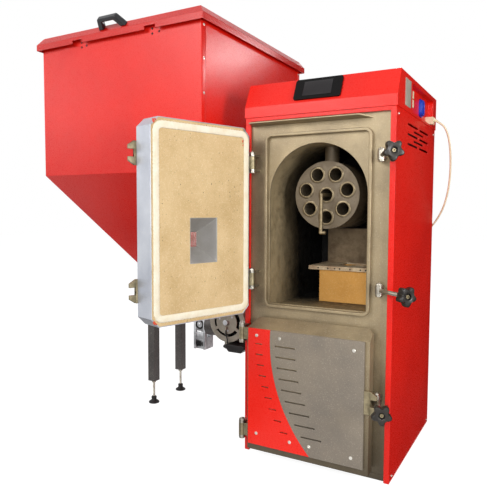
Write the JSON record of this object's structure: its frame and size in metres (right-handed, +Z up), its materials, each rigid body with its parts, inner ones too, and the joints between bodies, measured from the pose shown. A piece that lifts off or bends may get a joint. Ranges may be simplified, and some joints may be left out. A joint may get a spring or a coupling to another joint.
{
  "type": "pellet boiler",
  "caption": "Free-standing hot-water pellet boiler with an arched fire chamber, fire-tube exchanger, insulated swing doors and a lidded hopper that feeds its burner by screws.",
  "frame": {"origin": "centre of the boiler cabinet's base, on the floor", "axes": "+Z up, +X to the boiler's right seen from its doors, +Y to its back"},
  "size_m": [1.4658, 1.1421, 1.5158],
  "materials": {
    "red_coat": "fine-textured powder coat",
    "grey_coat": "hammered grey paint",
    "silver_coat": "hammered silver paint",
    "dark_steel": "sooted boiler plate",
    "zinc": "zinc plated",
    "heat_steel": "heat-tinted plate",
    "iron": "as cast",
    "light_metal": "bare die cast",
    "mineral_board": "speckled mineral board",
    "fibre_rope": "braided glass fibre",
    "heat_glass": "clear",
    "black_plastic": "satin moulded",
    "display": "glossy black",
    "blue_plastic": "satin moulded",
    "cream_plastic": "satin moulded",
    "cream_lead": "smooth sheath",
    "black_lead": "smooth sheath"
  },
  "bodies": {
    "boiler": {"base_plate": "dark_steel", "side_panel_left": "red_coat", "side_panel_right": "red_coat", "rear_panel": "red_coat", "top_cover": "red_coat", "control_panel": "display", "connector_plate": "black_plastic", "side_connectors": "blue_plastic", "boiler_vessel": "dark_steel", "front_plate": "grey_coat", "door_hood": "grey_coat", "seal_lips": "grey_coat", "exchanger_drum": "grey_coat", "fire_tubes": "grey_coat", "burner_retort": "iron", "burner_boards": "mineral_board", "rear_baffle": "heat_steel", "ash_pan": "heat_steel", "flue_spigot": "dark_steel", "water_nipples": "zinc", "door_brackets": "zinc", "hopper_walls": "red_coat", "hopper_slopes": "red_coat", "hopper_rim": "red_coat", "hopper_legs": "dark_steel", "hopper_feet": "zinc", "feed_trough": "grey_coat", "gear_motors": "light_metal", "wind_box": "grey_coat", "fan_housing": "grey_coat", "fan_motor": "light_metal", "junction_box": "black_plastic", "fan_lead": "black_lead", "power_lead": "cream_lead", "power_plug": "cream_plastic", "cable_gland": "black_plastic"},
    "upper_door": {"upper_door_shell": "silver_coat", "upper_door_insulation": "mineral_board", "upper_door_rope": "fibre_rope", "sight_sleeve": "zinc", "sight_glass": "heat_glass", "upper_door_fittings": "zinc"},
    "lower_door": {"lower_door_shell": "grey_coat", "lower_door_insulation": "mineral_board", "lower_door_rope": "fibre_rope", "cover_red": "red_coat", "cover_grey": "grey_coat", "lower_door_fittings": "zinc"},
    "swing_bolt_top": {"eyebolt_top": "zinc"},
    "swing_bolt_middle": {"eyebolt_middle": "zinc"},
    "swing_bolt_lower": {"eyebolt_lower": "zinc"},
    "star_knob_top": {"knob_top": "black_plastic"},
    "star_knob_middle": {"knob_middle": "black_plastic"},
    "star_knob_lower": {"knob_lower": "black_plastic"},
    "tube_cleaner": {"cleaning_rod": "zinc"},
    "lid": {"hopper_lid": "red_coat", "lid_handle": "black_plastic"},
    "feed_screw": {"feed_auger": "zinc"},
    "burner_screw": {"burner_auger": "zinc"},
    "fan_rotor": {"fan_impeller": "light_metal"}
  },
  "joints": [
    {"name": "upper_door_swing", "type": "hinge", "parent": "boiler", "child": "upper_door", "pos_m": [-0.214, -0.3095, 0.79], "axis": [0, 0, 1], "range_deg": [-10, 108]},
    {"name": "lower_door_swing", "type": "hinge", "parent": "boiler", "child": "lower_door", "pos_m": [-0.244, -0.3175, 0.25], "axis": [0, 0, 1], "range_deg": [-105, 0]},
    {"name": "bolt_top_swing", "type": "hinge", "parent": "boiler", "child": "swing_bolt_top", "pos_m": [0.21, -0.2955, 0.99], "axis": [0, 0, -1], "range_deg": [-55, 30]},
    {"name": "knob_top_turn", "type": "hinge", "parent": "swing_bolt_top", "child": "star_knob_top", "pos_m": [0.21, -0.2955, 0.99], "axis": [0.5, -0.866, 0], "continuous": true},
    {"name": "bolt_middle_swing", "type": "hinge", "parent": "boiler", "child": "swing_bolt_middle", "pos_m": [0.21, -0.2955, 0.59], "axis": [0, 0, -1], "range_deg": [-33, 52]},
    {"name": "knob_middle_turn", "type": "hinge", "parent": "swing_bolt_middle", "child": "star_knob_middle", "pos_m": [0.21, -0.2955, 0.59], "axis": [0.788, -0.6157, 0], "continuous": true},
    {"name": "bolt_lower_swing", "type": "hinge", "parent": "boiler", "child": "swing_bolt_lower", "pos_m": [0.21, -0.2955, 0.258], "axis": [0, 0, -1], "range_deg": [-63, 22]},
    {"name": "knob_lower_turn", "type": "hinge", "parent": "swing_bolt_lower", "child": "star_knob_lower", "pos_m": [0.21, -0.2955, 0.258], "axis": [0.3746, -0.9272, 0], "continuous": true},
    {"name": "cleaner_pull", "type": "slide", "parent": "boiler", "child": "tube_cleaner", "axis": [0, 1, 0], "range_m": [-0.2, 0]},
    {"name": "lid_hinge", "type": "hinge", "parent": "boiler", "child": "lid", "pos_m": [-0.74, 0.436, 1.47], "axis": [1, 0, 0], "range_deg": [-80, 0]},
    {"name": "feed_screw_turn", "type": "hinge", "parent": "boiler", "child": "feed_screw", "pos_m": [-0.65, 0.015, 0.482], "axis": [1, 0, 0], "continuous": true},
    {"name": "burner_screw_turn", "type": "hinge", "parent": "boiler", "child": "burner_screw", "pos_m": [-0.3, 0.015, 0.348], "axis": [1, 0, 0], "continuous": true},
    {"name": "fan_turn", "type": "hinge", "parent": "boiler", "child": "fan_rotor", "pos_m": [-0.438, -0.07, 0.391], "axis": [0, 1, 0], "continuous": true}
  ]
}
